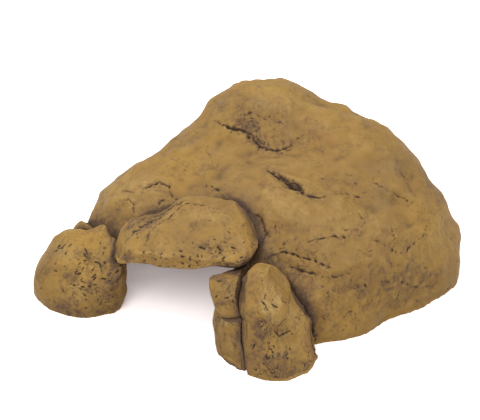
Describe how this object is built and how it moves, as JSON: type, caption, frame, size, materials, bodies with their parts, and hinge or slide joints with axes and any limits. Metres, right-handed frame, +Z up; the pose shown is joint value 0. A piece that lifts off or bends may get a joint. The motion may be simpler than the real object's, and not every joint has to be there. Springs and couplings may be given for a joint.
{
  "type": "resin cave ornament",
  "caption": "Hollow moulded-resin rock cave for a tank floor, with an arched entrance framed by separately cast stones and an open underside.",
  "frame": {"origin": "on the floor, under the centre of the ornament's bounding box", "axes": "+Z up, -Y out of the entrance, +X to the right of somebody facing the entrance"},
  "size_m": [0.278, 0.234, 0.13],
  "materials": {
    "painted_resin_dome": "matte painted cast resin with a dark wash",
    "painted_resin_stone": "matte painted cast resin with dark pits"
  },
  "bodies": {
    "root": {"cave_shell": "painted_resin_dome", "lintel_rock": "painted_resin_stone", "left_pillar_rock": "painted_resin_stone", "left_rear_rock": "painted_resin_stone", "right_pillar_rock": "painted_resin_stone", "right_inner_rock": "painted_resin_stone", "right_wedge_rock": "painted_resin_stone"}
  },
  "joints": []
}
